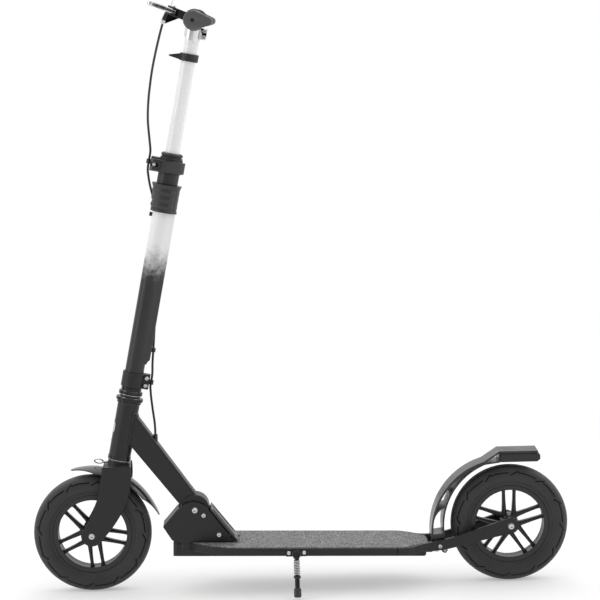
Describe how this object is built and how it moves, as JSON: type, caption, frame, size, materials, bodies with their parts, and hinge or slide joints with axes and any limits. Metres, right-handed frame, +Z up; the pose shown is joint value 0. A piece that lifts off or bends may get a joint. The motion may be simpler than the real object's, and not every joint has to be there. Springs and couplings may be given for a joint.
{
  "type": "kick scooter",
  "caption": "Folding kick scooter with big air-look wheels, height-adjustable stem, hand and foot rear brake, kickstand and grip-taped deck.",
  "frame": {"origin": "on the ground, midway between the wheels, in the middle of the handlebar's width", "axes": "+Z up, +X towards the rear wheel, -Y towards the rider's left"},
  "size_m": [0.933, 0.5, 1.0185],
  "materials": {
    "black_satin_alloy": "satin black coat over alloy",
    "black_satin_metal": "satin black powder coat",
    "white_to_black_stem": "gloss white fading to black",
    "white_gloss_tube": "gloss white lacquer",
    "bright_alloy": "machined and tumbled",
    "grip_tape": "abrasive grit on a dark film",
    "bolt_steel": "zinc plated",
    "steel_tube": "plain drawn steel",
    "tyre_rubber": "moulded black rubber",
    "black_plastic": "fine moulded texture",
    "grip_rubber": "soft moulded rubber",
    "cable_sheath": "smooth black sheath",
    "cast_rim": "satin black on cast nylon"
  },
  "bodies": {
    "deck": {"deck_plate": "black_satin_alloy", "deck_beam": "black_satin_alloy", "deck_nose": "black_plastic", "grip_tape": "grip_tape", "rear_stays": "black_satin_metal", "hinge_bracket": "black_satin_metal", "fold_bolt": "bolt_steel", "deck_screws": "bolt_steel", "rear_bolts": "bolt_steel", "stand_bracket": "black_satin_metal", "cable_deck": "cable_sheath"},
    "release_pedal": {"release_pedal": "black_satin_metal"},
    "neck": {"head_tube": "black_satin_metal", "down_tube": "black_satin_metal", "hinge_knuckle": "black_satin_metal", "headset_cups": "black_satin_metal", "headset_bearings": "bolt_steel", "cable_grommet": "black_plastic", "cable_neck": "cable_sheath", "cable_lower": "cable_sheath"},
    "steering": {"fork_crown": "black_satin_alloy", "fork_blades": "black_satin_metal", "steerer_tube": "steel_tube", "headset_stack": "black_satin_metal", "steerer_shim": "black_plastic", "stem_tube": "white_to_black_stem", "stem_clamp": "black_satin_alloy", "steering_screws": "bolt_steel", "front_mudguard": "black_plastic", "strap_ring": "bolt_steel", "ribbed_sleeve": "grip_rubber", "bush_sleeve": "black_plastic", "quick_release_collar": "black_satin_alloy", "quick_release_rod": "bright_alloy", "front_axle": "bolt_steel", "cable_mid": "cable_sheath"},
    "height_button": {"height_button": "black_plastic"},
    "quick_release_lever": {"quick_release_lever": "black_satin_alloy"},
    "handlebar": {"inner_tube": "white_gloss_tube", "stem_head": "bright_alloy", "handlebar_screws": "bolt_steel", "handlebar_tube": "black_satin_alloy", "handlebar_grips": "grip_rubber", "strap_hook": "black_satin_metal", "brake_perch": "black_satin_alloy", "cable_upper": "cable_sheath"},
    "brake_lever": {"brake_lever": "bright_alloy"},
    "front_wheel": {"front_tyre": "tyre_rubber", "front_rim": "cast_rim", "front_bearings": "bolt_steel"},
    "rear_wheel": {"rear_tyre": "tyre_rubber", "rear_rim": "cast_rim", "rear_bearings": "bolt_steel"},
    "rear_brake": {"rear_fender": "black_satin_alloy", "brake_shoe": "black_plastic", "fender_spring": "bolt_steel", "brake_wire": "bolt_steel"},
    "kickstand": {"stand_leg": "black_satin_metal", "stand_foot": "grip_rubber", "stand_spring": "bolt_steel"}
  },
  "joints": [
    {"name": "fold", "type": "hinge", "parent": "deck", "child": "neck", "pos_m": [-0.185, 0, 0.143], "axis": [0, 1, 0], "range_deg": [0, 78], "deforming": ["cable_neck", "cable_deck"]},
    {"name": "release_pedal_tilt", "type": "hinge", "parent": "deck", "child": "release_pedal", "pos_m": [-0.126, 0, 0.0896], "axis": [0, 1, 0], "range_deg": [0, 8], "stiffness_Nm_per_rad": 2, "springref_deg": -2.86},
    {"name": "steer", "type": "hinge", "parent": "neck", "child": "steering", "pos_m": [-0.302, 0, 0.29408], "axis": [0.1977, 0, 0.9803], "range_deg": [-90, 90], "deforming": ["cable_lower"]},
    {"name": "height_slide", "type": "slide", "parent": "steering", "child": "handlebar", "axis": [0.1977, 0, 0.9803], "range_m": [-0.15, 0], "deforming": ["cable_upper"]},
    {"name": "height_button_press", "type": "slide", "parent": "steering", "child": "height_button", "axis": [0.9803, 0, -0.1977], "range_m": [0, 0.0025], "stiffness_N_per_m": 400, "springref_m": -0.001},
    {"name": "quick_release_swing", "type": "hinge", "parent": "steering", "child": "quick_release_lever", "pos_m": [-0.23893, -0.017, 0.74348], "axis": [-0.1977, 0, -0.9803], "range_deg": [0, 130]},
    {"name": "front_wheel_spin", "type": "hinge", "parent": "steering", "child": "front_wheel", "pos_m": [-0.364, 0, 0.1025], "axis": [0, 1, 0], "continuous": true},
    {"name": "rear_wheel_spin", "type": "hinge", "parent": "deck", "child": "rear_wheel", "pos_m": [0.364, 0, 0.1025], "axis": [0, 1, 0], "continuous": true},
    {"name": "fender_brake", "type": "hinge", "parent": "deck", "child": "rear_brake", "pos_m": [0.24, 0, 0.07], "axis": [0, 1, 0], "range_deg": [0, 2.8], "stiffness_Nm_per_rad": 12, "springref_deg": -5.73},
    {"name": "brake_lever_pull", "type": "hinge", "parent": "handlebar", "child": "brake_lever", "pos_m": [-0.1977, -0.108, 1.00001], "axis": [0.3827, 0, 0.9239], "range_deg": [0, 20]},
    {"name": "kickstand_swing", "type": "hinge", "parent": "deck", "child": "kickstand", "pos_m": [-0.011, -0.076, 0.073], "axis": [0, -0.917, 0.399], "range_deg": [0, 90]}
  ],
  "couplings": [
    {"joint": "brake_lever_pull", "follows": "fender_brake", "ratio": 6}
  ]
}
